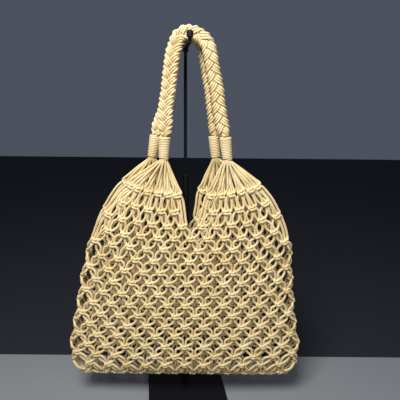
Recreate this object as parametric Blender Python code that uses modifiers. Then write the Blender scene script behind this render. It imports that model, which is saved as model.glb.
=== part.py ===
"""Woven tote bag on its display stand. Metres, +Z up, the origin under the pole on the stand's underside.

The bag is knotted cord: a net that is open at the top, four fans of cord, four whippings and two flat braids.
The front of the bag faces -Y. The pole stands behind the bag and its arm reaches forward through the braids.
"""

import math
from collections import namedtuple

import bmesh
import bpy
import numpy as np
from mathutils import Matrix, Vector

# Clearances
CLEARANCE = 0.0003

# The net
NET_WIDTH = 0.362
NET_HEIGHT = 0.298
NET_DEPTH = 0.037
NET_THICKNESS = 0.0065
NOTCH_WIDTH = 0.033
TOP_LEAN = 0.014
REAR_SHEAR = 0.012
ARCH_RISE = 0.018
FLOOR_GAP = 0.048
BAG_SETBACK = 0.035

# The fans, whippings and braids
FAN_RISE = 0.051
WHIPPING_LENGTH = 0.033
WHIPPING_TOP_RADIUS = 0.0086
WHIPPING_BOTTOM_RADIUS = 0.0076
WHIPPING_PITCH = 0.0182
WRAPS = 12
WRAP_DEPTH = 0.0007
CORE_RADIUS = 0.0056
HANDLE_RISE = 0.131
HANDLE_SPREAD = 0.088
HANDLE_WIDTH = 0.0200
HANDLE_THICKNESS = 0.0110
HANDLE_PITCH = 0.014
LOBE_PITCH = 0.012
LOBE_DEPTH = 0.0022

# The stand
STAND_TURN = math.radians(7.8)
BASE_WIDTH = 0.128
BASE_FRONT = 0.120
BASE_BACK = 0.030
BASE_THICKNESS = 0.004
BASE_CORNER = 0.004
TUBE_RADIUS = 0.00485
TUBE_TOP = 0.369
TUBE_CHAMFER = 0.001
ROD_RADIUS = 0.0024
ROD_INSERTION = 0.060
COLLAR_RADIUS = 0.0042
COLLAR_HEIGHT = 0.008
ARM_RADIUS = 0.0025
ARM_REACH = 0.0575
ARM_BEND = 0.005
ARM_TIP_RISE = 0.012
CAP_RADIUS = 0.0044
CAP_WALL = 0.0014

# Counts: the coarse net has one knot for every four of the real one
COLUMNS = 24
LAST_ROW = 17
SECTION_POWER = 2.6
ARCH_POWER = 2.4
KNOT_HALF_COLUMNS = 0.46
KNOT_HALF_ROWS = 0.66
STRIP_SWELL = 0.10
TOP_KNOT_ROW = 1.6
SLIT_KNOT_ROW = 5.4
ROUND_SIDES = 20
WHIPPING_SIDES = 12
BRAID_SIDES = 8

# One line per knot row of the net. The height is a share of NET_HEIGHT, the half width of half NET_WIDTH, the
# notch of half NOTCH_WIDTH, the lean of TOP_LEAN, the shear of REAR_SHEAR and the arch of ARCH_RISE. The depth
# and the split are shares of half NET_DEPTH: how far the face bows, and how far front and rear stand apart.
NetRow = namedtuple("NetRow", "row height half_width notch lean shear arch depth split")
NET_ROWS = (
    NetRow(0.0, 1.08, 0.36, 1.30, 1.00, 1.10, 0.80, 0.22, 0.46),
    NetRow(1.0, 1.005, 0.456, 1.00, 1.00, 1.00, 0.95, 0.32, 0.44),
    NetRow(2.0, 0.925, 0.598, 0.58, 0.93, 0.75, 1.05, 0.40, 0.44),
    NetRow(3.0, 0.854, 0.698, 0.21, 0.79, 0.50, 1.05, 0.49, 0.40),
    NetRow(4.0, 0.792, 0.778, 0.00, 0.68, 0.30, 0.89, 0.60, 0.34),
    NetRow(5.0, 0.734, 0.812, 0.00, 0.59, 0.12, 0.80, 0.70, 0.27),
    NetRow(6.0, 0.674, 0.829, 0.00, 0.50, 0.00, 0.55, 1.00, 0.00),
    NetRow(8.0, 0.556, 0.870, 0.00, 0.25, 0.00, 0.33, 1.00, 0.00),
    NetRow(10.0, 0.438, 0.906, 0.00, 0.14, 0.00, 0.15, 1.00, 0.00),
    NetRow(12.0, 0.320, 0.945, 0.00, 0.04, 0.00, 0.05, 1.00, 0.00),
    NetRow(14.0, 0.202, 0.986, 0.00, 0.02, 0.00, 0.00, 1.00, 0.00),
    NetRow(15.0, 0.143, 1.000, 0.00, 0.00, 0.00, 0.00, 0.97, 0.00),
    NetRow(16.0, 0.084, 0.978, 0.00, 0.00, 0.00, 0.00, 0.83, 0.00),
    NetRow(16.5, 0.030, 0.950, 0.00, 0.00, 0.00, 0.00, 0.55, 0.00),
    NetRow(17.0, 0.000, 0.912, 0.00, 0.00, 0.00, 0.00, 0.00, 0.00),
)

# One line per height of the braids above their whippings' tops, as a share of HANDLE_RISE. The others say how
# far each leg stands from the arm, as shares of HANDLE_SPREAD.
LegRow = namedtuple("LegRow", "height front_left front_right rear_left rear_right")
WHIPPING_FOOT = LegRow(0.0, -0.390, 0.616, -0.575, 0.466)
LEG_ROWS = (
    LegRow(0.00, -0.370, 0.572, -0.509, 0.427),
    LegRow(0.08, -0.358, 0.532, -0.464, 0.442),
    LegRow(0.32, -0.342, 0.457, -0.327, 0.400),
    LegRow(0.45, -0.308, 0.431, -0.288, 0.377),
    LegRow(0.57, -0.288, 0.393, -0.265, 0.343),
    LegRow(0.68, -0.264, 0.353, -0.242, 0.315),
    LegRow(0.80, -0.236, 0.322, -0.219, 0.278),
    LegRow(0.905, -0.182, 0.267, -0.168, 0.241),
    LegRow(0.97, -0.128, 0.156, -0.118, 0.144),
)

# Heights worked out from the sizes above
FAN_FOOT = FLOOR_GAP + NET_HEIGHT
WHIPPING_FOOT_Z = FAN_FOOT + FAN_RISE
WHIPPING_TOP_Z = WHIPPING_FOOT_Z + WHIPPING_LENGTH
APEX_Z = WHIPPING_TOP_Z + HANDLE_RISE
ARM_Z = APEX_Z - HANDLE_WIDTH / 2 - CLEARANCE - ARM_RADIUS

CREAM = (0.73, 0.52, 0.27)
PALE_CREAM = (0.76, 0.56, 0.31)
BLACK = (0.012, 0.012, 0.013)


def clear_scene():
    """Removes what the file starts with."""
    for obj in list(bpy.data.objects):
        bpy.data.objects.remove(obj, do_unlink=True)


def collection(name):
    """A new collection in the scene."""
    made = bpy.data.collections.new(name)
    bpy.context.scene.collection.children.link(made)
    return made


def material(name, colour, roughness, metallic=0.0):
    """A plain Principled material."""
    made = bpy.data.materials.new(name)
    made.use_nodes = True
    shader = made.node_tree.nodes["Principled BSDF"]
    shader.inputs["Base Color"].default_value = (*colour, 1.0)
    shader.inputs["Roughness"].default_value = roughness
    shader.inputs["Metallic"].default_value = metallic
    return made


def add_object(name, mesh, where, look, smooth_angle=40.0):
    """Puts a mesh in a collection with its material, shaded smooth under the given angle."""
    obj = bpy.data.objects.new(name, mesh)
    mesh.materials.append(look)
    mesh.shade_smooth()
    mesh.set_sharp_from_angle(angle=math.radians(smooth_angle))
    where.objects.link(obj)
    return obj


def net_row(row):
    """The values of NET_ROWS at any row number, between its lines."""
    rows = [line.row for line in NET_ROWS]
    values = [np.interp(row, rows, [line[k] for line in NET_ROWS]) for k in range(1, len(NetRow._fields))]
    return NetRow(row, *values)


def section_point(half_width, half_depth, share):
    """A point on a quarter of the net's rounded cross-section, at a share of its length from the face's middle."""
    angle = np.linspace(math.pi / 2, 0.0, 49)
    x = half_width * np.cos(angle).clip(0.0) ** (2 / SECTION_POWER)
    y = half_depth * np.sin(angle).clip(0.0) ** (2 / SECTION_POWER)
    length = np.concatenate([[0.0], np.cumsum(np.hypot(np.diff(x), np.diff(y)))])
    where = share * length[-1]
    return float(np.interp(where, length, x)), float(np.interp(where, length, y))


def net_point(column, row):
    """A point of the net's middle surface. Columns 0 to 12 cross the front and 12 to 24 come back over the rear."""
    if row > LAST_ROW:
        column, row = COLUMNS - column, 2 * LAST_ROW - row
    column %= COLUMNS
    half = COLUMNS / 2
    rear = column > half
    across = COLUMNS - column if rear else column
    side = across - half / 2
    line = net_row(row)
    width = line.half_width * NET_WIDTH / 2
    x, y = section_point(width, line.depth * NET_DEPTH / 2, abs(side) / (half / 2))
    notch = line.notch * NOTCH_WIDTH / 2 * max(-1.0, min(1.0, 2 * side))
    lean = line.lean * TOP_LEAN - (line.shear * REAR_SHEAR if rear else 0.0)
    out = y + line.split * NET_DEPTH / 2
    rise = line.height * NET_HEIGHT + line.arch * ARCH_RISE * (x / width) ** ARCH_POWER
    return Vector((lean + math.copysign(x, side) + notch, (out if rear else -out) - BAG_SETBACK, FLOOR_GAP + rise))


def arm_x(y):
    """How far the turned arm stands to the side at a depth."""
    return -y * math.tan(STAND_TURN)


def leg_name(front, right):
    """The name of a leg's column in LEG_ROWS."""
    return f"{'front' if front else 'rear'}_{'right' if right else 'left'}"


def leg_place(line, z, front, right):
    """Where a leg of a braid is at one line of the table. The braids stand closer together on the arm."""
    share = (z - WHIPPING_TOP_Z) / HANDLE_RISE
    apart = np.interp(share, [0.0, 1.0], [WHIPPING_PITCH, HANDLE_PITCH]) / 2
    y = -BAG_SETBACK + (-apart if front else apart)
    seat = -BAG_SETBACK + (-HANDLE_PITCH if front else HANDLE_PITCH) / 2
    return Vector((arm_x(seat) + getattr(line, leg_name(front, right)) * HANDLE_SPREAD, y, z))


def whipping_ends(front, right):
    """The lower and upper end of a whipping's axis."""
    foot = leg_place(WHIPPING_FOOT, WHIPPING_FOOT_Z, front, right)
    return foot, leg_place(LEG_ROWS[0], WHIPPING_TOP_Z, front, right)


def braid_route(front):
    """The braid's middle line, from the left whipping's top over the arm to the right one's."""
    seat = -BAG_SETBACK + (-HANDLE_PITCH if front else HANDLE_PITCH) / 2
    left = [leg_place(line, WHIPPING_TOP_Z + line.height * HANDLE_RISE, front, False) for line in LEG_ROWS]
    right = [leg_place(line, WHIPPING_TOP_Z + line.height * HANDLE_RISE, front, True) for line in LEG_ROWS]
    return left + [Vector((arm_x(seat), seat, APEX_Z))] + right[::-1]


def smooth_line(points, spacing):
    """Evenly spaced points on a smooth curve through the given ones. The curve keeps the middle point."""
    ends = [2 * points[0] - points[1], *points, 2 * points[-1] - points[-2]]
    fine = []
    for a, b, c, d in zip(ends, ends[1:], ends[2:], ends[3:]):
        for t in np.linspace(0.0, 1.0, 12, endpoint=False):
            fine.append(0.5 * (2 * b + (c - a) * t + (2 * a - 5 * b + 4 * c - d) * t**2 + (3 * b - a - 3 * c + d) * t**3))
    fine.append(points[-1])
    fine = np.array([tuple(p) for p in fine])
    length = np.concatenate([[0.0], np.cumsum(np.linalg.norm(np.diff(fine, axis=0), axis=1))])
    middle = length[12 * (len(points) // 2)]
    before = np.linspace(0.0, middle, max(2, round(middle / spacing)) + 1)
    after = np.linspace(middle, length[-1], max(2, round((length[-1] - middle) / spacing)) + 1)
    where = np.concatenate([before, after[1:]])
    return [Vector([float(np.interp(s, length, fine[:, k])) for k in range(3)]) for s in where]


def loft(name, rings):
    """A closed mesh through rings of as many points each."""
    bm = bmesh.new()
    loops = [[bm.verts.new(p) for p in ring] for ring in rings]
    for low, high in zip(loops, loops[1:]):
        for k in range(len(low)):
            after = (k + 1) % len(low)
            bm.faces.new((low[k], low[after], high[after], high[k]))
    bm.faces.new(loops[0][::-1])
    bm.faces.new(loops[-1])
    bmesh.ops.recalc_face_normals(bm, faces=bm.faces)
    mesh = bpy.data.meshes.new(name)
    bm.to_mesh(mesh)
    bm.free()
    return mesh


def oval(centre, across, half_width, half_thickness, shift=0.0):
    """A ring round a point of the braid, half_width along across and half_thickness along Y."""
    reach = math.cos(math.pi / BRAID_SIDES)
    ring = []
    for k in range(BRAID_SIDES):
        angle = 2 * math.pi * (k + 0.5) / BRAID_SIDES
        u = half_width / reach * math.cos(angle) + shift
        v = half_thickness / reach * math.sin(angle)
        ring.append(centre + across * u + Vector((0.0, v, 0.0)))
    return ring


def across_path(before, after):
    """The direction in the XZ plane at right angles to the path."""
    along = (after - before).normalized()
    return Vector((along.z, 0.0, -along.x)).normalized()


def handle(name, front, where, look):
    """A flat braid whose edges step in and out, with the round bundles that pass down through its whippings."""
    route = smooth_line(braid_route(front), LOBE_PITCH / 2)
    feet = [whipping_ends(front, right)[0] for right in (False, True)]
    tops = [whipping_ends(front, right)[1] for right in (False, True)]
    rings = []
    foot_dir = across_path(feet[0], tops[0])
    for point in (feet[0], tops[0]):
        rings.append(oval(point, foot_dir, CORE_RADIUS, CORE_RADIUS))
    middle = len(route) // 2
    for k in range(1, len(route) - 1):
        side = across_path(route[k - 1], route[k + 1])
        sway = LOBE_DEPTH / 2 * (-1) ** k if k != middle else 0.0
        rings.append(oval(route[k], side, HANDLE_WIDTH / 2 - abs(sway), HANDLE_THICKNESS / 2, sway))
    end_dir = across_path(tops[1], feet[1])
    for point in (tops[1], feet[1]):
        rings.append(oval(point, end_dir, CORE_RADIUS, CORE_RADIUS))
    return add_object(name, loft(name, rings), where, look)


def turned(name, profile, sides, where, look):
    """A solid of revolution about Z from a closed profile of (radius, height), outer side first, downwards."""
    bm = bmesh.new()
    corners = [bm.verts.new((radius, 0.0, z)) for radius, z in profile]
    for a, b in zip(corners, corners[1:] + corners[:1]):
        bm.edges.new((a, b))
    mesh = bpy.data.meshes.new(name)
    bm.to_mesh(mesh)
    bm.free()
    obj = add_object(name, mesh, where, look)
    screw = obj.modifiers.new("turn", "SCREW")
    screw.axis = "Z"
    screw.steps = screw.render_steps = sides
    screw.use_merge_vertices = True
    screw.merge_threshold = 0.00001
    screw.use_smooth_shade = True
    return obj


def solid_turned(name, profile, sides, where, look):
    """A solid of revolution whose open profile starts and ends on the axis, from the top down."""
    bm = bmesh.new()
    corners = [bm.verts.new((radius, 0.0, z)) for radius, z in profile]
    for a, b in zip(corners, corners[1:]):
        bm.edges.new((a, b))
    mesh = bpy.data.meshes.new(name)
    bm.to_mesh(mesh)
    bm.free()
    obj = add_object(name, mesh, where, look)
    screw = obj.modifiers.new("turn", "SCREW")
    screw.axis = "Z"
    screw.steps = screw.render_steps = sides
    screw.use_merge_vertices = True
    screw.merge_threshold = 0.00001
    screw.use_smooth_shade = True
    return obj


def whipping(name, front, right, where, look):
    """A ribbed sleeve of wound cord round the bundle, wider at its top."""
    foot, top = whipping_ends(front, right)
    axis = top - foot
    low, high = CLEARANCE, axis.length - CLEARANCE
    inner = (CORE_RADIUS / math.cos(math.pi / BRAID_SIDES) + CLEARANCE) / math.cos(math.pi / WHIPPING_SIDES)
    profile = []
    for k in range(2 * WRAPS + 1):
        share = 1.0 - k / (2 * WRAPS)
        radius = WHIPPING_BOTTOM_RADIUS + (WHIPPING_TOP_RADIUS - WHIPPING_BOTTOM_RADIUS) * share
        profile.append((radius - (WRAP_DEPTH if k % 2 == 0 else 0.0), low + (high - low) * share))
    profile += [(inner, low), (inner, high)]
    obj = turned(name, profile, WHIPPING_SIDES, where, look)
    obj.matrix_world = Matrix.Translation(foot) @ axis.to_track_quat("Z", "Y").to_matrix().to_4x4()
    return obj


class Net:
    """The coarse net: knots as small faces, joined by strips of cord, before it gets its thickness."""

    def __init__(self):
        self.bm = bmesh.new()
        self.knots = {}

    def corner(self, column, row):
        """A vertex on the net's surface that remembers its place there."""
        return self.bm.verts.new(net_point(column, row)), column, row

    def knot(self, column, row, open_top=False):
        """A knot's face, with a flat top where a fan's strip leaves it."""
        left = self.corner(column - KNOT_HALF_COLUMNS, row)
        right = self.corner(column + KNOT_HALF_COLUMNS, row)
        below = self.corner(column, row + KNOT_HALF_ROWS)
        spot = {"left": left, "right": right, "below": below}
        if open_top:
            spot["above_left"] = self.corner(column - 0.8 * KNOT_HALF_COLUMNS, row - KNOT_HALF_ROWS)
            spot["above_right"] = self.corner(column + 0.8 * KNOT_HALF_COLUMNS, row - KNOT_HALF_ROWS)
            order = ("above_left", "left", "below", "right", "above_right")
        else:
            spot["above"] = self.corner(column, row - KNOT_HALF_ROWS)
            order = ("above", "left", "below", "right")
        self.bm.faces.new([spot[key][0] for key in order])
        return spot

    def strip(self, start, end):
        """Two faces from one knot's edge to another's, a little fuller in the middle."""
        (a, a_col, a_row), (b, b_col, b_row) = start
        (c, c_col, c_row), (d, d_col, d_row) = end
        one = np.array([(b_col + c_col) / 2, (b_row + c_row) / 2])
        two = np.array([(a_col + d_col) / 2, (a_row + d_row) / 2])
        swell = (one - two) * STRIP_SWELL / 2
        low, high = (self.bm.verts.new(net_point(*place)) for place in (one + swell, two - swell))
        self.bm.faces.new((a, b, low, high))
        self.bm.faces.new((high, low, c, d))


def near(corner, column):
    """The corner with its column counted round the bag to lie near the given one."""
    vertex, own, row = corner
    return vertex, own + COLUMNS * round((column - own) / COLUMNS), row


def net_lattice():
    """The whole net with its fans, as one open surface."""
    net = Net()
    rows = [2, 4, 6, 8, 10, 12, 14, 16]
    for k, row in enumerate(rows):
        for column in range((k + 1) % 2, COLUMNS, 2):
            place = row
            if k == 0:
                place = TOP_KNOT_ROW
            elif k == 1 and column % (COLUMNS // 2) == 0:
                place = SLIT_KNOT_ROW
            net.knots[column, k] = net.knot(column, place, open_top=k == 0)
    fold = len(rows)
    for column in range(1, COLUMNS // 2, 2):
        front = net.corner(column, LAST_ROW - KNOT_HALF_ROWS)
        rear = net.corner(COLUMNS - column, LAST_ROW - KNOT_HALF_ROWS)
        left = net.corner(column - KNOT_HALF_COLUMNS, LAST_ROW)
        right = net.corner(column + KNOT_HALF_COLUMNS, LAST_ROW)
        net.bm.faces.new((front[0], left[0], rear[0], right[0]))
        mirrored = [(corner[0], COLUMNS - corner[1], corner[2]) for corner in (right, left)]
        net.knots[column, fold] = {"above": front, "left": left, "right": right}
        net.knots[COLUMNS - column, fold] = {"above": rear, "left": mirrored[0], "right": mirrored[1]}
    for (column, k), spot in list(net.knots.items()):
        if k == fold:
            continue
        right = net.knots[(column + 1) % COLUMNS, k + 1]
        left = net.knots[(column - 1) % COLUMNS, k + 1]
        net.strip(
            (near(spot["right"], column), near(spot["below"], column)),
            (near(right["left"], column + 1), near(right["above"], column + 1)),
        )
        net.strip(
            (near(spot["below"], column), near(spot["left"], column)),
            (near(left["above"], column - 1), near(left["right"], column - 1)),
        )
    for front in (True, False):
        for right in (True, False):
            fan(net, front, right)
    return net.bm


def fan(net, front, right):
    """Three strips from the top knots of half a face, which meet under a whipping."""
    foot, top = whipping_ends(front, right)
    end = foot - (top - foot).normalized() * CLEARANCE
    low = end - (top - foot).normalized() * CORE_RADIUS
    first = 7 if right == front else 1
    columns = [first + (0 if front else COLUMNS // 2) + 2 * k for k in range(3)]
    sideways = across_path(foot, top) * (1.0 if front else -1.0)
    meet = [low + sideways * CORE_RADIUS * (2 * k / 3 - 1) for k in range(4)]
    meet = [net.bm.verts.new(p) for p in meet]
    ends = [net.bm.verts.new(end + sideways * CORE_RADIUS * k) for k in (1, -1)]
    net.bm.faces.new((*meet, *ends))
    for k, column in enumerate(columns):
        spot = net.knots[column, 0]
        foot_left, foot_right = spot["above_left"][0], spot["above_right"][0]
        net.bm.faces.new((foot_left, foot_right, meet[k + 1], meet[k]))


def net_body(where, look):
    """The net, thickened to the bulk of its cords."""
    bm = net_lattice()
    mesh = bpy.data.meshes.new("net_body")
    bm.to_mesh(mesh)
    bm.free()
    obj = add_object("net_body", mesh, where, look)
    solid = obj.modifiers.new("cord", "SOLIDIFY")
    solid.thickness = NET_THICKNESS
    solid.offset = 0.0
    return obj


def stand_base(where, look):
    """The flat plate, with its edges broken and its corners rounded."""
    bm = bmesh.new()
    depth = BASE_FRONT + BASE_BACK
    middle = Vector((0.0, (BASE_BACK - BASE_FRONT) / 2, BASE_THICKNESS / 2))
    size = Matrix.Diagonal((BASE_WIDTH, depth, BASE_THICKNESS, 1.0))
    bmesh.ops.create_cube(bm, size=1.0, matrix=Matrix.Translation(middle) @ size)
    uprights = [e for e in bm.edges if abs(e.verts[0].co.z - e.verts[1].co.z) > BASE_THICKNESS / 2]
    bmesh.ops.bevel(bm, geom=uprights, offset=BASE_CORNER, segments=3, affect="EDGES", profile=0.5)
    mesh = bpy.data.meshes.new("stand_base")
    bm.to_mesh(mesh)
    bm.free()
    return add_object("stand_base", mesh, where, look)


def stand_tube(where, look):
    """The lower tube of the pole, with a broken edge at its top."""
    inner = ROD_RADIUS + CLEARANCE
    foot = BASE_THICKNESS + CLEARANCE
    profile = [
        (TUBE_RADIUS - TUBE_CHAMFER, TUBE_TOP),
        (TUBE_RADIUS, TUBE_TOP - TUBE_CHAMFER),
        (TUBE_RADIUS, foot),
        (inner / math.cos(math.pi / ROUND_SIDES), foot),
        (inner / math.cos(math.pi / ROUND_SIDES), TUBE_TOP),
    ]
    return turned("stand_tube", profile, ROUND_SIDES, where, look)


def stand_rod(where, look):
    """The thin rod that stands in the tube and ends level with the collar."""
    top = ARM_Z + COLLAR_HEIGHT / 2
    foot = TUBE_TOP - ROD_INSERTION
    profile = [(0.0, top), (ROD_RADIUS, top), (ROD_RADIUS, foot), (0.0, foot)]
    return solid_turned("stand_rod", profile, ROUND_SIDES, where, look)


def stand_collar(where, look):
    """The collar round the rod's top, where the arm leaves it."""
    inner = (ROD_RADIUS + CLEARANCE) / math.cos(math.pi / ROUND_SIDES)
    top, foot = ARM_Z + COLLAR_HEIGHT / 2, ARM_Z - COLLAR_HEIGHT / 2
    profile = [(COLLAR_RADIUS, top), (COLLAR_RADIUS, foot), (inner, foot), (inner, top)]
    return turned("stand_collar", profile, ROUND_SIDES, where, look)


def arm_route():
    """The arm's middle line: forward from the collar, then up at its tip."""
    start = -(COLLAR_RADIUS + CLEARANCE)
    points = [Vector((0.0, start, ARM_Z)), Vector((0.0, -ARM_REACH + ARM_BEND, ARM_Z))]
    for k in range(1, 5):
        angle = math.pi / 2 * k / 4
        back = ARM_BEND * (1 - math.sin(angle))
        points.append(Vector((0.0, -ARM_REACH + back, ARM_Z + ARM_BEND * (1 - math.cos(angle)))))
    points.append(Vector((0.0, -ARM_REACH, ARM_Z + ARM_TIP_RISE)))
    return points


def stand_arm(where, look):
    """The round arm, as a curve with filled ends."""
    curve = bpy.data.curves.new("stand_arm", "CURVE")
    curve.dimensions = "3D"
    curve.bevel_depth = ARM_RADIUS
    curve.bevel_resolution = 4
    curve.use_fill_caps = True
    spline = curve.splines.new("POLY")
    route = arm_route()
    spline.points.add(len(route) - 1)
    for point, place in zip(spline.points, route):
        point.co = (*place, 1.0)
    curve.materials.append(look)
    obj = bpy.data.objects.new("stand_arm", curve)
    where.objects.link(obj)
    return obj


def arm_cap(where, look):
    """The round cap over the arm's upturned tip, hollow like the real one."""
    rod_top = ARM_Z + ARM_TIP_RISE
    hollow = (ARM_RADIUS + CLEARANCE) / math.cos(math.pi / ROUND_SIDES)
    top = rod_top + CLEARANCE + CAP_WALL
    foot = ARM_Z + ARM_BEND + CLEARANCE
    shoulder = 0.55 * CAP_RADIUS
    profile = [(0.0, top)]
    for k in range(1, 5):
        angle = math.pi / 2 * k / 4
        profile.append((CAP_RADIUS * math.sin(angle), top - shoulder * (1 - math.cos(angle))))
    profile += [(CAP_RADIUS, foot), (hollow, foot), (hollow, rod_top + CLEARANCE), (0.0, rod_top + CLEARANCE)]
    obj = solid_turned("arm_cap", profile, ROUND_SIDES, where, look)
    obj.location = (0.0, -ARM_REACH, 0.0)
    return obj


def stand(where):
    """The whole display stand, turned about the pole."""
    black = material("black_metal", BLACK, 0.42, 0.6)
    rubber = material("black_cap", BLACK, 0.55)
    pivot = bpy.data.objects.new("stand_turn", None)
    where.objects.link(pivot)
    pieces = [make(where, black) for make in (stand_base, stand_tube, stand_rod, stand_collar, stand_arm)]
    pieces.append(arm_cap(where, rubber))
    for piece in pieces:
        piece.parent = pivot
    pivot.rotation_euler = (0.0, 0.0, STAND_TURN)


def bag(where):
    """The knotted bag: net, whippings and braids."""
    cord = material("cord", CREAM, 0.75)
    braid = material("braid_cord", PALE_CREAM, 0.72)
    net_body(where, cord)
    for front in (True, False):
        face = "front" if front else "rear"
        handle(f"handle_{face}", front, where, braid)
        for right in (False, True):
            whipping(f"whipping_{leg_name(front, right)}", front, right, where, braid)


def main():
    clear_scene()
    where = collection("woven_tote_bag_on_stand")
    stand(where)
    bag(where)


main()
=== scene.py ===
"""The looks of the knotted net bag on its display stand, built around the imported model.

The net is drawn cord by cord: every square knot ties four cords, and each cord runs on from knot to
knot, from the bound foot of a handle down to the fold at the bottom. All lengths are in metres unless
a name or a table says millimetres.
"""

import math
import random
from collections import namedtuple

import bpy
import numpy as np
from mathutils import Matrix, Vector


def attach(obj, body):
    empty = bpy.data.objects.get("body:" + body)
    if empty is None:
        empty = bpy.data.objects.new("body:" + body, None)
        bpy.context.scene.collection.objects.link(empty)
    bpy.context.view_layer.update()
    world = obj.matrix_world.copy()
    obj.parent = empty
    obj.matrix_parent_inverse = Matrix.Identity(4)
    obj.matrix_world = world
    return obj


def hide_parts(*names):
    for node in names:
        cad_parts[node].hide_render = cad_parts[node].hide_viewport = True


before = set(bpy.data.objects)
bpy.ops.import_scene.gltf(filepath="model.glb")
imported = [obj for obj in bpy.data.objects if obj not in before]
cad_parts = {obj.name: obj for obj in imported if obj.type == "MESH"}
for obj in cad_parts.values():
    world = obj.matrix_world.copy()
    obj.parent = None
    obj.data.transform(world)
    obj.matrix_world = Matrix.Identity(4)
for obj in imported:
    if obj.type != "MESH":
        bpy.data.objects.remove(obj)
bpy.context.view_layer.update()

MM = 0.001
SEED = 11

# The bag's form, as in the part's source.
NET_WIDTH = 0.362
NET_HEIGHT = 0.298
NET_DEPTH = 0.037
NOTCH_WIDTH = 0.033
TOP_LEAN = 0.014
REAR_SHEAR = 0.012
ARCH_RISE = 0.018
FLOOR_GAP = 0.048
BAG_SETBACK = 0.035
COLUMNS = 24
LAST_ROW = 17
SECTION_POWER = 2.6
ARCH_POWER = 2.4

# The handles and what binds them, as in the part's source, but with a slimmer foot to each whipping
# and one turn of its cord more.
WHIPPING_FOOT_Z = 0.397
WHIPPING_TOP_Z = 0.430
WHIPPING_TOP_RADIUS = 0.0086
WHIPPING_BOTTOM_RADIUS = 0.0070
WHIPPING_PITCH = 0.0182
WRAPS = 13
CORE_RADIUS = 0.0056
HANDLE_RISE = 0.131
HANDLE_SPREAD = 0.088
HANDLE_PITCH = 0.014
APEX_Z = 0.561
STAND_TURN = math.radians(7.8)

# Each row's height is a share of NET_HEIGHT, half_width is one of half NET_WIDTH, and depth and split,
# the gap between the faces, are shares of NET_DEPTH. The rest are shares of their own sizes above.
NetRow = namedtuple("NetRow", "row height half_width notch lean shear arch depth split")
NET_ROWS = (
    NetRow(0.0, 1.08, 0.36, 1.30, 1.00, 1.10, 0.80, 0.22, 0.46),
    NetRow(1.0, 1.005, 0.456, 1.00, 1.00, 1.00, 0.95, 0.32, 0.44),
    NetRow(2.0, 0.925, 0.598, 0.58, 0.93, 0.75, 1.05, 0.40, 0.44),
    NetRow(3.0, 0.854, 0.698, 0.21, 0.79, 0.50, 1.05, 0.49, 0.40),
    NetRow(4.0, 0.792, 0.778, 0.00, 0.68, 0.30, 0.89, 0.60, 0.34),
    NetRow(5.0, 0.734, 0.812, 0.00, 0.59, 0.12, 0.80, 0.70, 0.27),
    NetRow(6.0, 0.674, 0.829, 0.00, 0.50, 0.00, 0.55, 1.00, 0.00),
    NetRow(8.0, 0.556, 0.870, 0.00, 0.25, 0.00, 0.33, 1.00, 0.00),
    NetRow(10.0, 0.438, 0.906, 0.00, 0.14, 0.00, 0.15, 1.00, 0.00),
    NetRow(12.0, 0.320, 0.945, 0.00, 0.04, 0.00, 0.05, 1.00, 0.00),
    NetRow(14.0, 0.202, 0.986, 0.00, 0.02, 0.00, 0.00, 1.00, 0.00),
    NetRow(15.0, 0.143, 1.000, 0.00, 0.00, 0.00, 0.00, 0.97, 0.00),
    NetRow(16.0, 0.084, 0.978, 0.00, 0.00, 0.00, 0.00, 0.83, 0.00),
    NetRow(16.5, 0.030, 0.950, 0.00, 0.00, 0.00, 0.00, 0.55, 0.00),
    NetRow(17.0, 0.000, 0.912, 0.00, 0.00, 0.00, 0.00, 0.00, 0.00),
)

# Where each leg of the two handles runs, by its height as a share of HANDLE_RISE. The four places are
# shares of HANDLE_SPREAD, to the right of the arm.
LegRow = namedtuple("LegRow", "height front_left front_right rear_left rear_right")
WHIPPING_FOOT = LegRow(0.0, -0.390, 0.616, -0.575, 0.466)
LEG_ROWS = (
    LegRow(0.00, -0.370, 0.572, -0.509, 0.427),
    LegRow(0.08, -0.358, 0.532, -0.464, 0.442),
    LegRow(0.32, -0.342, 0.457, -0.327, 0.400),
    LegRow(0.45, -0.308, 0.431, -0.288, 0.377),
    LegRow(0.57, -0.288, 0.393, -0.265, 0.343),
    LegRow(0.68, -0.264, 0.353, -0.242, 0.315),
    LegRow(0.80, -0.236, 0.322, -0.219, 0.278),
    LegRow(0.905, -0.182, 0.267, -0.168, 0.241),
    LegRow(0.97, -0.128, 0.156, -0.118, 0.144),
)

# The cord of the net, and how finely it is drawn. CORD_SOFTNESS and EASING_REACH count steps of
# CORD_STEP. No cord starts along CLEAR_DIRECTION.
CORD_RADIUS = 0.00185
CORD_SIDES = 8
SECTION_POINTS = 49
LINE_STEPS = 8
CORD_STEP = 0.0004
CORD_SOFTNESS = 2.0
EASING_REACH = 6
RING_TURN = math.radians(15.0)
RING_SHORTEST = 0.0007
RING_LONGEST = 0.004
CLEAR_DIRECTION = (0.31, 0.83, 0.46)

# Where the net has no knots: in the notch of each face and along the side slits, down to these rows.
NOTCH_COLUMNS = (6, 18)
NOTCH_LAST_ROW = 3
SIDE_COLUMNS = (0, 12)
SIDE_LAST_ROW = 5

# A knot's size and how much knots differ. A knot is scaled in width by its columns' pitch, as a share
# of KNOT_PITCH_MM and by KNOT_WIDTH at most. KNOT_REACH is how many rows and columns away its
# directions are read.
KNOT_PITCH_MM = 20.0
KNOT_WIDTH = 0.84
KNOT_HEIGHT = 0.76
KNOT_REACH = 0.25
JITTER_MM = 0.7
JITTER_TURN = math.radians(5.0)
JITTER_SCALE = 0.04

# In row 1 the knots beside the side slits are moved away from them: a face's first and last column,
# each with how many columns it moves.
TOP_EDGE_SHIFTS = {0.5: 0.3, COLUMNS // 2 - 0.5: -0.3}

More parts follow.
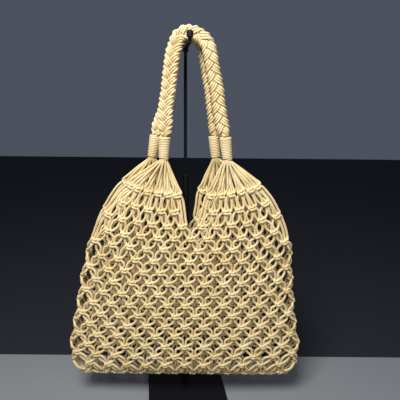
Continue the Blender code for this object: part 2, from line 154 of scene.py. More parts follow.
# How far each of a knot's four cords bows out in a petal. PETAL_SHAPE holds shares of the way along a
# cord with shares of the bow. The bow is smallest, NARROW_BOW of these values, between knots that are
# close, and grows with the distance.
PETAL_BOWS_MM = (2.9, 2.1, 1.1, 2.8)
PETAL_SHAPE = ((0.25, 0.8), (0.5, 1.0), (0.75, 0.7))
NARROW_HALF_PITCH_MM = 6.0
WIDE_HALF_PITCH_MM = 13.5
NARROW_BOW = 0.35
WIDEST_SHARE = 1.1
BOW_JITTER = 0.25

# The long runs past the side slits and the notch: how far right of the knots' middle each of the four
# cords runs, and the shares of the way where its place is set.
LONG_RUN_MM = (-6.6, -2.0, 2.0, 6.6)
LONG_RUN_SHARES = (0.15, 0.5, 0.85)

# The fans between the whippings and the top knots. FAN_COVERED is how far the cords reach up into the
# whipping, and FAN_TAPER the share of a fan over which they swell from FAN_TOP_RADIUS.
KNOT_TOP_MM = 9.5
FAN_SPACING_MM = 2.3
FAN_DEPTH_MM = 1.1
FAN_SHARES = (0.2, 0.55)
FAN_JITTER_MM = 0.5
FAN_COVERED = 0.006
FAN_TOP_RADIUS = 0.0013
FAN_TAPER = 0.8

# The bottom. The knots of LAST_ROW lie at the height of FOLD_KNOT_ROW, and FOLD_ROW is the line of
# knots in the fold. The cords between them sag away from a line FOLD_SAG_HEIGHT above the fold.
FOLD_KNOT_ROW = 16.75
FOLD_ROW = LAST_ROW + 1
FOLD_LIFT_MM = 1.5
FOLD_SAG_MM = 0.5
FOLD_SAG_HEIGHT = 0.02

# One square knot, in millimetres from its centre: x to the right, y up, z out of the net. The knot's
# own width and height scale x and y. The cord that comes in at the left makes both bars in front, the
# one at the right both bars behind, and two straight cords run through the middle.
Turn = namedtuple("Turn", "x y z")
FRONT_BARS = (
    Turn(-7.6, 4.7, -0.6),
    Turn(-5.5, 2.2, -0.7),
    Turn(-3.0, 0.8, 1.5),
    Turn(0.0, 1.6, 3.0),
    Turn(3.0, 3.1, 2.4),
    Turn(5.1, 3.9, 0.7),
    Turn(6.3, 2.6, -1.3),
    Turn(6.4, 0.0, -1.8),
    Turn(6.0, -2.2, -0.8),
    Turn(4.6, -3.2, 1.4),
    Turn(2.0, -3.2, 2.9),
    Turn(-1.0, -3.1, 2.9),
    Turn(-3.6, -3.2, 2.0),
    Turn(-5.7, -3.4, 0.9),
    Turn(-7.6, -4.7, 0.0),
)
REAR_BARS = (
    Turn(7.9, 4.3, 0.4),
    Turn(6.0, 1.9, 1.6),
    Turn(4.4, 0.8, 0.6),
    Turn(2.6, 0.5, -1.8),
    Turn(0.0, 0.8, -3.0),
    Turn(-2.6, 2.2, -2.0),
    Turn(-4.5, 3.4, 0.0),
    Turn(-5.4, 2.4, 2.2),
    Turn(-5.8, 0.6, 3.0),
    Turn(-5.6, -1.1, 2.6),
    Turn(-5.0, -2.4, 0.9),
    Turn(-4.1, -2.7, -1.4),
    Turn(-2.4, -2.6, -2.7),
    Turn(0.0, -2.2, -3.0),
    Turn(2.6, -1.0, -1.8),
    Turn(4.4, -0.9, 0.5),
    Turn(6.0, -1.7, 1.5),
    Turn(7.7, -3.4, 0.8),
)
LEFT_FILLER = (Turn(-2.7, 5.4, 0.0), Turn(-1.6, 0.0, 0.0), Turn(-1.2, -6.2, 0.0))
RIGHT_FILLER = (Turn(2.7, 5.4, 0.0), Turn(1.6, 0.0, 0.0), Turn(2.9, -6.2, 0.0))
CORD_TURNS = (FRONT_BARS, LEFT_FILLER, RIGHT_FILLER, REAR_BARS)

# The braids of the handles. At its ends a braid has only END_SWAY, END_WEAVE and END_WIDTH of its
# sway, weave and width, and it reaches the whole of them BRAID_START further in. A strand folds over
# at the braid's edges, where the cosine of its phase is within BRAID_ROLL of zero.
STRANDS = 3
STRAND_CORDS = 3
STRAND_LAYERS = 2
BRAID_CORD_RADIUS = 0.0016
BRAID_PERIOD = 0.041
BRAID_SWAY = 0.0066
SWAY_POINT = 0.07
BRAID_WEAVE = 0.0031
BRAID_ROLL = 0.75
STRAND_SPACING = 0.0031
LAYER_SPACING = 0.0022
BRAID_START = 0.010
END_SWAY = 0.4
END_WEAVE = 0.5
END_WIDTH = 0.42
ROUTE_STEPS = 12
BRAID_STEP = 0.0015

# The bundle of cords inside each whipping, and the cord wound round it, whose two ends are tucked in.
BUNDLE_RADIUS = 0.0046
BUNDLE_FILL = 0.93
BUNDLE_COLUMNS = 6
BUNDLE_LAYERS = 4
WHIPPING_CORD_RADIUS = 0.00155
WRAP_STEPS = 28
FRONT_WRAP_START = 0.9
REAR_WRAP_START = 2.1
TUCK_TURNS = 0.3
TUCK_DEPTH = 0.0022
CORE_INSET = 0.0015
CORE_RINGS = 6
CORE_SIDES = 20

# The camera's place and angle come from the photograph's perspective.
CAMERA_PLACE = Vector((0.0257, -0.554, 0.467))
CAMERA_PITCH = math.radians(14.0)
CAMERA_ROLL = 0.0096
CAMERA_LENS = 33.2
CAMERA_SENSOR = 36.0

# The light, and the ground, which is pale as far as GROUND_EDGE_Y and dark behind it.
Light = namedtuple("Light", "name place size power color")
LIGHTS = (
    Light("key_light", (-0.20, -0.62, 1.10), 0.4, 16.0, (1.0, 0.98, 0.94)),
    Light("fill_light", (0.75, -0.75, 0.60), 0.8, 1.8, (0.97, 0.98, 1.0)),
)
LIT_PLACE = Vector((0.0, -BAG_SETBACK, 0.22))
WORLD_COLOR = (0.11, 0.13, 0.17, 1.0)
WORLD_STRENGTH = 0.65
GROUND_REACH = 3.0
GROUND_EDGE_Y = 0.068
NEAR_GROUND_COLOR = (0.23, 0.24, 0.26)
FAR_GROUND_COLOR = (0.02, 0.022, 0.029)

# The finish of the cord. The tones are its dark, middle and light color. The sheath repeats
# SHEATH_AROUND times round the cord, and SHEATH_ALONG times in as much length as the way round it.
CORD_MAP = "cord_map"
NET_TONES = ((0.66, 0.50, 0.24), (0.77, 0.62, 0.33), (0.85, 0.71, 0.42))
# The braid's tones are a little darker than the net's. This is painted shade that tones down the key light
# falling more fully on the handles.
SHADED_BRAID_TONES = ((0.64, 0.49, 0.24), (0.74, 0.59, 0.33), (0.82, 0.68, 0.42))
TONE_PLACES = (0.28, 0.5, 0.72)
SHEATH_AROUND = 8
SHEATH_ALONG = 6
SOIL_COLOR = (0.62, 0.46, 0.30, 1.0)
SOIL_SHARE = 0.10
SOIL_CHANGE = 0.06
FUZZ_HEIGHT = 0.5
SHEEN_COLOR = (1.0, 0.93, 0.78, 1.0)


# Shapes

def unit(vector):
    return vector / np.linalg.norm(vector)


def units(vectors):
    return vectors / np.linalg.norm(vectors, axis=1)[:, None]


def net_row(row):
    """The row's line of NET_ROWS, worked out between two lines where it falls between them."""
    rows = [line.row for line in NET_ROWS]
    return NetRow(*(float(np.interp(row, rows, column)) for column in zip(*NET_ROWS)))


def section_point(half_width, half_depth, share):
    """A point of the bag's rounded section, at a share of the way from a face's middle to its side."""
    angle = np.linspace(math.pi / 2, 0.0, SECTION_POINTS)
    x = half_width * np.cos(angle).clip(0.0) ** (2 / SECTION_POWER)
    y = half_depth * np.sin(angle).clip(0.0) ** (2 / SECTION_POWER)
    length = np.concatenate([[0.0], np.cumsum(np.hypot(np.diff(x), np.diff(y)))])
    where = share * length[-1]
    return float(np.interp(where, length, x)), float(np.interp(where, length, y))


def net_point(column, row):
    """A point of the net's middle surface. Columns 0 to 12 cross the front, 12 to 24 the rear."""
    column %= COLUMNS
    half = COLUMNS / 2
    rear = column > half
    across = COLUMNS - column if rear else column
    side = across - half / 2
    line = net_row(row)
    width = line.half_width * NET_WIDTH / 2
    x, y = section_point(width, line.depth * NET_DEPTH / 2, abs(side) / (half / 2))
    notch = line.notch * NOTCH_WIDTH / 2 * max(-1.0, min(1.0, 2 * side))
    lean = line.lean * TOP_LEAN - (line.shear * REAR_SHEAR if rear else 0.0)
    out = y + line.split * NET_DEPTH / 2
    rise = line.height * NET_HEIGHT + line.arch * ARCH_RISE * (x / width) ** ARCH_POWER
    depth = (out if rear else -out) - BAG_SETBACK
    return np.array((lean + math.copysign(x, side) + notch, depth, FLOOR_GAP + rise))


def smooth_line(points, steps):
    """A smooth line through the points, with that many steps from each one to the next."""
    points = np.asarray(points, float)
    ends = np.vstack([2 * points[0] - points[1], points, 2 * points[-1] - points[-2]])
    gaps = np.maximum(np.linalg.norm(np.diff(ends, axis=0), axis=1), 1e-9) ** 0.5
    slopes = np.diff(ends, axis=0) / gaps[:, None]
    wide = (ends[2:] - ends[:-2]) / (gaps[1:] + gaps[:-1])[:, None]
    tangents = slopes[1:] - wide + slopes[:-1]
    inner = gaps[1:-1, None, None]
    share = (np.arange(steps) / steps)[None, :, None]
    start, stop = points[:-1, None], points[1:, None]
    line = (
        (2 * share**3 - 3 * share**2 + 1) * start
        + (share**3 - 2 * share**2 + share) * inner * tangents[:-1, None]
        + (3 * share**2 - 2 * share**3) * stop
        + (share**3 - share**2) * inner * tangents[1:, None]
    )
    return np.vstack([line.reshape(-1, 3), points[-1]])


def run_along(line):
    """How far along the line each of its points is."""
    return np.concatenate([[0.0], np.cumsum(np.linalg.norm(np.diff(line, axis=0), axis=1))])


def even_line(line, spacing):
    """The line again, with even steps of about that length, and how far along it each point is."""
    run = run_along(line)
    count = max(2, round(run[-1] / spacing))
    where = np.linspace(0.0, run[-1], count + 1)
    return np.column_stack([np.interp(where, run, line[:, axis]) for axis in range(3)]), where


def soft_line(points):
    """A line through the points with its sharp turns eased, as a cord's own stiffness eases them."""
    line, run = even_line(smooth_line(points, LINE_STEPS), CORD_STEP)
    reach = np.arange(-EASING_REACH, EASING_REACH + 1)
    weights = np.exp(-0.5 * (reach / CORD_SOFTNESS) ** 2)
    padded = np.pad(line, ((EASING_REACH, EASING_REACH), (0, 0)), mode="edge")
    eased = [np.convolve(padded[:, axis], weights / weights.sum(), mode="valid") for axis in range(3)]
    return np.column_stack(eased), run


def thin_line(line, bend, shortest, longest):
    """The numbers of the points to keep: one wherever the line has turned or run far enough."""
    steps = np.diff(line, axis=0)
    lengths = np.linalg.norm(steps, axis=1)
    headings = steps / np.maximum(lengths, 1e-12)[:, None]
    kept = [0]
    run = 0.0
    least = math.cos(bend)
    for number in range(1, len(line) - 1):
        run += lengths[number - 1]
        turned = headings[number] @ headings[kept[-1]] < least
        if run >= longest or (turned and run >= shortest):
            kept.append(number)
            run = 0.0
    return kept + [len(line) - 1]


class CordMesh:
    """Gathers round cords, and makes them one mesh with a map that runs round and along each cord."""

    def __init__(self):
        self.corners = []
        self.faces = []
        self.map = []

    def add(self, line, radii, sides=CORD_SIDES):
        line = np.asarray(line, float)
        radii = np.broadcast_to(radii, len(line))
        tangents = units(np.gradient(line, axis=0))
        normal = unit(np.cross(tangents[0], CLEAR_DIRECTION))
        normals = []
        for tangent in tangents:
            normal = unit(normal - tangent * (normal @ tangent))
            normals.append(normal)
        normals = np.array(normals)
        binormals = np.cross(tangents, normals)
        angle = (2 * math.pi * np.arange(sides) / sides)[None, :, None]
        ring = np.cos(angle) * normals[:, None] + np.sin(angle) * binormals[:, None]
        first = sum(map(len, self.corners))
        self.corners.append((line[:, None] + radii[:, None, None] * ring).reshape(-1, 3))
        along = run_along(line) / (2 * math.pi * radii.max())
        for place in range(len(line) - 1):
            here = first + place * sides
            for side in range(sides):
                beside = (side + 1) % sides
                self.faces.append((here + side, here + beside, here + beside + sides, here + side + sides))
                left, right = side / sides, (side + 1) / sides
                low, high = along[place], along[place + 1]
                self.map += ((left, low), (right, low), (right, high), (left, high))
        last = first + (len(line) - 1) * sides
        self.faces.append(tuple(first + side for side in reversed(range(sides))))
        self.faces.append(tuple(last + side for side in range(sides)))
        self.map += [(side / sides, 0.0) for side in reversed(range(sides))]
        self.map += [(side / sides, along[-1]) for side in range(sides)]

    def make(self, name, slot_name, material, *nodes):
        """The object, in the scene, riding on the frame in place of the CAD nodes."""
        mesh = bpy.data.meshes.new(name)
        mesh.from_pydata(np.vstack(self.corners).tolist(), [], self.faces)
        mesh.uv_layers.new(name=CORD_MAP).data.foreach_set("uv", np.array(self.map).ravel())
        mesh.shade_smooth()
        mesh.materials.append(material)
        piece = bpy.data.objects.new(name, mesh)
        bpy.context.scene.collection.objects.link(piece)
        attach(piece, "root")
        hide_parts(*nodes)
        return piece


# The net

class Knot:
    """One square knot: its centre and its directions to the right, up and out of the net."""

    def __init__(self, column, row, chance):
        self.column = column
        self.row = row
        if row == LAST_ROW and column not in SIDE_COLUMNS:
            right, up = np.array((1.0, 0.0, 0.0)), np.array((0.0, -1.0, 0.0))
        else:
            above = min(row, LAST_ROW - KNOT_REACH)
            right = unit(net_point(column + KNOT_REACH, above) - net_point(column - KNOT_REACH, above))
            up = unit(net_point(column, row - KNOT_REACH) - net_point(column, above + KNOT_REACH))
        out = unit(np.cross(right, up))
        right = np.cross(up, out)
        turn = chance.uniform(-JITTER_TURN, JITTER_TURN)
        self.right = right * math.cos(turn) + up * math.sin(turn)
        self.up = up * math.cos(turn) - right * math.sin(turn)
        self.out = out
        shift_x, shift_y = (chance.uniform(-JITTER_MM, JITTER_MM) for _ in range(2))
        self.centre = net_point(column, row) + (right * shift_x + up * shift_y) * MM
        pitch = np.linalg.norm(net_point(column + 0.5, row) - net_point(column - 0.5, row)) / MM
        size = 1 + chance.uniform(-JITTER_SCALE, JITTER_SCALE)
        self.width = size * min(KNOT_WIDTH, pitch / KNOT_PITCH_MM)
        self.height = size * KNOT_HEIGHT

    def place(self, x, y, z):
        """A point of the knot, given in millimetres as in the tables of its turns."""
        return self.centre + (self.right * x * self.width + self.up * y * self.height + self.out * z) * MM

    def path(self, slot_number):
        """The turns that the cord of that slot makes through the knot, from its top down."""
        return [self.place(*turn) for turn in CORD_TURNS[slot_number]]


def tie_knots():
    """Every knot of the net by its row and column."""
    chance = random.Random(SEED)
    knots = {}
    for row in range(1, LAST_ROW + 1):
        height = FOLD_KNOT_ROW if row == LAST_ROW else row
        for number in range(COLUMNS):
            column = number + (0.5 if row % 2 else 0.0)
            if column in NOTCH_COLUMNS and row <= NOTCH_LAST_ROW:
                continue
            if column in SIDE_COLUMNS and row <= SIDE_LAST_ROW:
                continue
            shift = TOP_EDGE_SHIFTS.get(column % (COLUMNS // 2), 0.0) if row == 1 else 0.0
            knots[row, column] = Knot(column + shift, height, chance)
    for column in range(COLUMNS // 2 + 1):
        knots[FOLD_ROW, column] = Knot(column, LAST_ROW, chance)
        knots[FOLD_ROW, column].centre[2] += FOLD_LIFT_MM * MM
    return knots


def petal(upper, upper_slot, lower, lower_slot, middle, size):
    """Points of one side of the petal between two knots. middle is on the net's surface between them."""
    start = upper.path(upper_slot)[-1]
    stop = lower.path(lower_slot)[0]
    crown = middle - (upper.centre + lower.centre) / 2
    left = unit(np.cross(stop - start, upper.out + lower.out))
    outward = left if upper_slot % 2 == 0 else -left
    tied = upper_slot in (0, 3)
    points = []
    for share, width in PETAL_SHAPE:
        along = share if tied else 1 - share
        place = start + (stop - start) * along + crown * 4 * share * (1 - share)
        points.append(place + outward * PETAL_BOWS_MM[upper_slot] * size * width * MM)
    return points if tied else points[::-1]


def link(upper, upper_slot, lower, lower_slot, rows, chance):
    """The points of a cord between two knots: a petal's bowed side, or a long straight run."""
    step = (lower.column - upper.column + COLUMNS / 2) % COLUMNS - COLUMNS / 2
    if rows == 1:
        middle = net_point(upper.column + step / 2, (upper.row + lower.row) / 2)
        half_pitch = abs((lower.centre - upper.centre) @ upper.right) / MM
        wide = (half_pitch - NARROW_HALF_PITCH_MM) / (WIDE_HALF_PITCH_MM - NARROW_HALF_PITCH_MM)
        size = NARROW_BOW + (1 - NARROW_BOW) * max(0.0, min(WIDEST_SHARE, wide))
        size *= 1 + chance.uniform(-BOW_JITTER, BOW_JITTER)
        return petal(upper, upper_slot, lower, lower_slot, middle, size)
    points = []
    for share in LONG_RUN_SHARES:
        place = net_point(upper.column + share * step, upper.row + share * (lower.row - upper.row))
        right = upper.right * (1 - share) + lower.right * share
        points.append(place + right * LONG_RUN_MM[upper_slot] * MM)
    return points


def fold_point(knots, column, slot_number, upper, upper_slot):
    """The points of a cord from its last knot above the fold to the end of the knot at the fold."""
    fold = knots[FOLD_ROW, min(column, COLUMNS - column)]
    path = fold.path(slot_number if column <= COLUMNS / 2 else 3 - slot_number)
    if column > COLUMNS / 2:
        path = path[:-3:-1]
    start = upper.path(upper_slot)[-1]
    above = np.array((fold.centre[0], -BAG_SETBACK, fold.centre[2] + FOLD_SAG_HEIGHT))
    sag = unit(fold.centre - above) * FOLD_SAG_MM * MM
    return [(start + path[0]) / 2 + sag] + path


def trace_cord(knots, column, slot_number, chance):
    """The points of one cord from a knot of the top row down to the fold."""
    row = 1
    knot = knots[row, column]
    points = knot.path(slot_number)
    while row < LAST_ROW:
        if slot_number < 2:
            beside, entry = column - 0.5, slot_number + 2
        else:
            beside, entry = column + 0.5, slot_number - 2
        target = row + 1, beside % COLUMNS
        if target not in knots:
            target, entry = (row + 2, column), slot_number
        rows = target[0] - row
        points += link(knot, slot_number, knots[target], entry, rows, chance)
        row, column = target
        knot, slot_number = knots[target], entry
        points += knot.path(slot_number)
    side = -0.5 if slot_number < 2 else 0.5
    entry = slot_number + (2 if slot_number < 2 else -2)
    return points + fold_point(knots, (column + side) % COLUMNS, entry, knot, slot_number)


def arm_x(y):
    return -y * math.tan(STAND_TURN)


def seat_y(front):
    """How far back a handle lies where it hangs on the arm."""
    return -BAG_SETBACK + (-HANDLE_PITCH if front else HANDLE_PITCH) / 2


def leg_place(line, z, front, right):
    """The middle of a handle's leg at that height."""
    share = (z - WHIPPING_TOP_Z) / HANDLE_RISE
    apart = float(np.interp(share, [0.0, 1.0], [WHIPPING_PITCH, HANDLE_PITCH])) / 2
    y = -BAG_SETBACK + (-apart if front else apart)
    name = ("front" if front else "rear") + ("_right" if right else "_left")
    return np.array((arm_x(seat_y(front)) + getattr(line, name) * HANDLE_SPREAD, y, z))


def whipping_ends(front, right):
    foot = leg_place(WHIPPING_FOOT, WHIPPING_FOOT_Z, front, right)
    top = leg_place(LEG_ROWS[0], WHIPPING_TOP_Z, front, right)
    return foot, top


def bundle_spot(number):
    """Where a cord lies in the round bundle under a whipping: its place across and its depth."""
    across = (number // BUNDLE_LAYERS - (BUNDLE_COLUMNS - 1) / 2) / ((BUNDLE_COLUMNS - 1) / 2)
    across *= BUNDLE_FILL * BUNDLE_RADIUS
    chord = math.sqrt(BUNDLE_RADIUS**2 - across**2)
    middle = (BUNDLE_LAYERS - 1) / 2
    return across, (number % BUNDLE_LAYERS - middle) / middle * chord


def fan_points(knot, slot_number, foot, axis, number, side, chance):
    """The points of a cord from inside the whipping down to a knot of the top row."""
    across, depth = bundle_spot(number)
    spot = np.array((side * across, depth, 0.0))
    depth_mm = FAN_DEPTH_MM if slot_number % 2 == 0 else -FAN_DEPTH_MM
    entry = knot.centre + (
        knot.right * (slot_number - 1.5) * FAN_SPACING_MM
        + knot.up * KNOT_TOP_MM
        + knot.out * depth_mm
    ) * MM
    bottom = foot + spot
    points = [foot + axis * FAN_COVERED + spot, bottom]
    for share in FAN_SHARES:
        loose = np.array([chance.uniform(-FAN_JITTER_MM, FAN_JITTER_MM) for _ in range(3)]) * MM
        points.append(bottom + (entry - bottom) * share + loose)
    return points + [entry]


def build_net(material):
    knots = tie_knots()
    chance = random.Random(SEED + 1)
    quarters = (
        ("net_front_left", True, False, 0.5),
        ("net_front_right", True, True, 6.5),
        ("net_rear_right", False, True, 12.5),
        ("net_rear_left", False, False, 18.5),
    )
    for name, front, right, first in quarters:
        foot, top = whipping_ends(front, right)
        axis = unit(top - foot)
        side = 1 if front else -1
        cords = CordMesh()
        for number in range(COLUMNS):
            column = first + number // 4
            slot_number = number % 4
            fan = fan_points(knots[1, column], slot_number, foot, axis, number, side, chance)
            line, run = soft_line(fan + trace_cord(knots, column, slot_number, chance))
            kept = thin_line(line, RING_TURN, RING_SHORTEST, RING_LONGEST)
            lead = np.linalg.norm(fan[-1] - fan[1]) * FAN_TAPER
            radii = np.interp(run, [0.0, lead], [FAN_TOP_RADIUS, CORD_RADIUS])
            cords.add(line[kept], radii[kept])
        cords.make(name, "cord", material, "net_body")


# The handles

def build_whipping(name, front, right, material):
    """A cord wound round the bundle at a handle's foot."""
    foot, top = whipping_ends(front, right)
    axis = unit(top - foot)
    across = unit(np.cross(axis, (0.0, 1.0, 0.0)))
    depth = np.cross(axis, across)
    length = np.linalg.norm(top - foot)
    turns = np.linspace(0.0, WRAPS, WRAPS * WRAP_STEPS + 1)
    share = turns / WRAPS
    outer = WHIPPING_BOTTOM_RADIUS + (WHIPPING_TOP_RADIUS - WHIPPING_BOTTOM_RADIUS) * share
    tuck = np.clip(1 - np.minimum(turns, WRAPS - turns) / TUCK_TURNS, 0.0, 1.0)
    radius = outer - WHIPPING_CORD_RADIUS - TUCK_DEPTH * tuck**2
    height = WHIPPING_CORD_RADIUS + (length - 2 * WHIPPING_CORD_RADIUS) * share
    angle = 2 * math.pi * turns + (FRONT_WRAP_START if front else REAR_WRAP_START)
    line = (
        foot
        + axis * height[:, None]
        + across * (radius * np.cos(angle))[:, None]
        + depth * (radius * np.sin(angle))[:, None]
    )
    cords = CordMesh()
    cords.add(line, WHIPPING_CORD_RADIUS)
    inside = foot + axis * np.linspace(CORE_INSET, length - CORE_INSET, CORE_RINGS)[:, None]
    cords.add(inside, CORE_RADIUS, CORE_SIDES)
    cords.make(name.replace("whipping", "winding"), "braid_cord", material, name)


def braid_route(front):
    """The middle line of a braid, from the top of its left whipping over the arm to the right one."""
    seat = seat_y(front)
    heights = [WHIPPING_TOP_Z + line.height * HANDLE_RISE for line in LEG_ROWS]
    left = [leg_place(line, z, front, False) for line, z in zip(LEG_ROWS, heights)]
    right = [leg_place(line, z, front, True) for line, z in zip(LEG_ROWS, heights)]
    return left + [np.array((arm_x(seat), seat, APEX_Z))] + right[::-1]


def build_braid(name, front, material):
    """Three flat strands of cord, plaited over one another."""
    middle, run = even_line(smooth_line(braid_route(front), ROUTE_STEPS), BRAID_STEP)
    tangents = units(np.gradient(middle, axis=0))
    across = units(np.cross(tangents, (0.0, -1.0, 0.0)))
    toward = np.cross(across, tangents)
    to_end = np.minimum(run, run[-1] - run)
    spread = np.clip(to_end / BRAID_START, 0.0, 1.0)
    spread = spread * spread * (3 - 2 * spread)
    cords = CordMesh()
    for strand in range(STRANDS):
        phase = 2 * math.pi * (run / BRAID_PERIOD + strand / STRANDS)
        pointed = (np.sin(phase) - SWAY_POINT * np.sin(3 * phase)) / (1 + SWAY_POINT)
        sway = BRAID_SWAY * pointed * (END_SWAY + (1 - END_SWAY) * spread)
        weave = BRAID_WEAVE * np.sin(2 * phase) * (END_WEAVE + (1 - END_WEAVE) * spread)
        folded = np.sin(np.clip(np.cos(phase) / BRAID_ROLL, -1.0, 1.0) * math.pi / 2)
        roll = -math.pi / 2 * (1 - folded)
        centre = middle + across * sway[:, None] + toward * weave[:, None]
        heading = units(np.gradient(centre, axis=0))
        flat = units(np.cross(heading, toward))
        lifted = np.cross(flat, heading)
        side = flat * np.cos(roll)[:, None] + lifted * np.sin(roll)[:, None]
        face = lifted * np.cos(roll)[:, None] - flat * np.sin(roll)[:, None]
        width = STRAND_SPACING * (END_WIDTH + (1 - END_WIDTH) * spread)
        for number in range(STRAND_CORDS):
            offset = (number - (STRAND_CORDS - 1) / 2) * width
            for layer in range(STRAND_LAYERS):
                lift = (layer - (STRAND_LAYERS - 1) / 2) * LAYER_SPACING
                line = centre + side * offset[:, None] + face * lift
                cords.add(line, BRAID_CORD_RADIUS)
    cords.make(name, "braid_cord", material, "handle_front" if front else "handle_rear")


# Finishes

def new_material(name):
    material = bpy.data.materials.new(name)
    material.use_nodes = True
    nodes = material.node_tree.nodes
    return material, nodes, material.node_tree.links, nodes["Principled BSDF"]


def math_node(nodes, links, operation, first, second):
    """A math node whose inputs are other nodes' outputs or plain numbers."""
    node = nodes.new("ShaderNodeMath")
    node.operation = operation
    for socket, value in zip(node.inputs, (first, second)):
        if isinstance(value, (int, float)):
            socket.default_value = value
        else:
            links.new(value, socket)
    return node.outputs[0]


def noise_node(nodes, links, place, scale, detail):
    """The strength of a noise at each place."""
    noise = nodes.new("ShaderNodeTexNoise")
    noise.inputs["Scale"].default_value = scale
    noise.inputs["Detail"].default_value = detail
    links.new(place, noise.inputs["Vector"])
    return noise.outputs["Fac"]


def add_bump(nodes, links, shader, height, strength, distance):
    """Gives the shader a fine relief."""
    bump = nodes.new("ShaderNodeBump")
    bump.inputs["Strength"].default_value = strength
    bump.inputs["Distance"].default_value = distance
    links.new(height, bump.inputs["Height"])
    links.new(bump.outputs["Normal"], shader.inputs["Normal"])


def cord_material(name, dark, middle, light):
    """Soft round cord: a fine plaited sheath, small soiled patches and a slight sheen."""
    material, nodes, links, shader = new_material(name)
    place = nodes.new("ShaderNodeTexCoord").outputs["Object"]
    patches = noise_node(nodes, links, place, scale=38.0, detail=5.0)
    tones = nodes.new("ShaderNodeValToRGB")
    ramp = tones.color_ramp
    dark_place, middle_place, light_place = TONE_PLACES
    ramp.elements[0].position = dark_place
    ramp.elements[0].color = (*dark, 1.0)
    ramp.elements[1].position = light_place
    ramp.elements[1].color = (*light, 1.0)
    ramp.elements.new(middle_place).color = (*middle, 1.0)
    links.new(patches, tones.inputs["Fac"])

    spot = nodes.new("ShaderNodeUVMap")
    spot.uv_map = CORD_MAP
    parts = nodes.new("ShaderNodeSeparateXYZ")
    links.new(spot.outputs["UV"], parts.inputs["Vector"])
    around = math_node(nodes, links, "MULTIPLY", parts.outputs["X"], SHEATH_AROUND * 2 * math.pi)
    along = math_node(nodes, links, "MULTIPLY", parts.outputs["Y"], SHEATH_ALONG * 2 * math.pi)
    first = math_node(nodes, links, "SINE", around, 0.0)
    second = math_node(nodes, links, "SINE", along, 0.0)
    sheath = math_node(nodes, links, "MULTIPLY", first, second)

    shade = nodes.new("ShaderNodeMix")
    shade.data_type = "RGBA"
    shade.blend_type = "MULTIPLY"
    soil = math_node(nodes, links, "MULTIPLY", sheath, SOIL_CHANGE)
    links.new(math_node(nodes, links, "ADD", soil, SOIL_SHARE), shade.inputs["Factor"])
    links.new(tones.outputs["Color"], shade.inputs["A"])
    shade.inputs["B"].default_value = SOIL_COLOR
    links.new(shade.outputs["Result"], shader.inputs["Base Color"])

    fuzz = noise_node(nodes, links, place, scale=1400.0, detail=2.0)
    rough = math_node(nodes, links, "MULTIPLY", fuzz, FUZZ_HEIGHT)
    height = math_node(nodes, links, "ADD", sheath, rough)
    add_bump(nodes, links, shader, height, strength=0.35, distance=0.00018)
    shader.inputs["Roughness"].default_value = 0.62
    shader.inputs["Sheen Weight"].default_value = 0.25
    shader.inputs["Sheen Roughness"].default_value = 0.4
    shader.inputs["Sheen Tint"].default_value = SHEEN_COLOR
    return material


def stand_material(name, color, low, high, grain):
    """Black paint or plastic with a fine grain and an uneven shine."""
    material, nodes, links, shader = new_material(name)
    place = nodes.new("ShaderNodeTexCoord").outputs["Object"]
    cloud = noise_node(nodes, links, place, scale=60.0, detail=4.0)
    span = nodes.new("ShaderNodeMapRange")
    span.inputs["To Min"].default_value = low
    span.inputs["To Max"].default_value = high
    links.new(cloud, span.inputs["Value"])
    links.new(span.outputs["Result"], shader.inputs["Roughness"])
    fine = noise_node(nodes, links, place, scale=grain, detail=2.0)
    add_bump(nodes, links, shader, fine, strength=0.12, distance=0.0002)
    shader.inputs["Base Color"].default_value = (*color, 1.0)
    shader.inputs["Specular IOR Level"].default_value = 0.25
    return material


# The studio

def add_camera():
    data = bpy.data.cameras.new("camera")
    data.lens = CAMERA_LENS
    data.sensor_width = CAMERA_SENSOR
    data.clip_start = 0.01
    camera = bpy.data.objects.new("camera", data)
    bpy.context.scene.collection.objects.link(camera)
    tilt = Matrix.Rotation(math.pi / 2 - CAMERA_PITCH, 4, "X")
    level = Matrix.Translation(CAMERA_PLACE) @ tilt
    camera.matrix_world = Matrix.Rotation(-CAMERA_ROLL, 4, "Y") @ level
    bpy.context.scene.camera = camera


def add_light(light):
    data = bpy.data.lights.new(light.name, "AREA")
    data.size = light.size
    data.energy = light.power
    data.color = light.color
    lamp = bpy.data.objects.new(light.name, data)
    lamp.location = light.place
    lamp.rotation_euler = (LIT_PLACE - Vector(light.place)).to_track_quat("-Z", "Y").to_euler()
    bpy.context.scene.collection.objects.link(lamp)


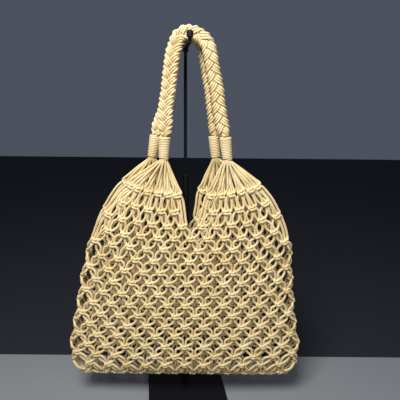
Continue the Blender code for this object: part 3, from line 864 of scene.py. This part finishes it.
def add_ground(name, near, far, color):
    """A flat strip of the ground between two depths."""
    mesh = bpy.data.meshes.new(name)
    corners = [(x, y, 0.0) for y, x in (
        (near, -GROUND_REACH), (near, GROUND_REACH), (far, GROUND_REACH), (far, -GROUND_REACH)
    )]
    mesh.from_pydata(corners, [], [(0, 1, 2, 3)])
    material, _, _, shader = new_material(name + "_finish")
    shader.inputs["Base Color"].default_value = (*color, 1.0)
    shader.inputs["Roughness"].default_value = 0.8
    shader.inputs["Specular IOR Level"].default_value = 0.2
    mesh.materials.append(material)
    ground = bpy.data.objects.new(name, mesh)
    bpy.context.scene.collection.objects.link(ground)


def add_studio():
    add_camera()
    bpy.context.scene.view_settings.view_transform = "Standard"
    for light in LIGHTS:
        add_light(light)
    world = bpy.data.worlds.new("studio")
    world.use_nodes = True
    background = world.node_tree.nodes["Background"]
    background.inputs["Color"].default_value = WORLD_COLOR
    background.inputs["Strength"].default_value = WORLD_STRENGTH
    bpy.context.scene.world = world
    add_ground("near_ground", -GROUND_REACH, GROUND_EDGE_Y, NEAR_GROUND_COLOR)
    add_ground("far_ground", GROUND_EDGE_Y, GROUND_REACH, FAR_GROUND_COLOR)


def paint_stand():
    paint = stand_material("satin_black", (0.004, 0.004, 0.005), low=0.42, high=0.58, grain=900.0)
    cap = stand_material("cap_black", (0.004, 0.004, 0.004), low=0.5, high=0.65, grain=1500.0)
    finishes = dict.fromkeys(("stand_base", "stand_tube", "stand_rod", "stand_collar", "stand_arm"), paint)
    finishes["arm_cap"] = cap
    for name, finish in finishes.items():
        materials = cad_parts[name].data.materials
        materials.clear()
        materials.append(finish)


add_studio()
paint_stand()
net_cord = cord_material("net_cord", *NET_TONES)
# The braid cord is the net's cord finish with slightly darker tones, as painted shade against the key
# light.
braid_cord = cord_material("braid_cord", *SHADED_BRAID_TONES)
build_net(net_cord)
for front_side in (True, False):
    side_name = "front" if front_side else "rear"
    build_braid("braid_" + side_name, front_side, braid_cord)
    build_whipping(f"whipping_{side_name}_left", front_side, False, braid_cord)
    build_whipping(f"whipping_{side_name}_right", front_side, True, braid_cord)
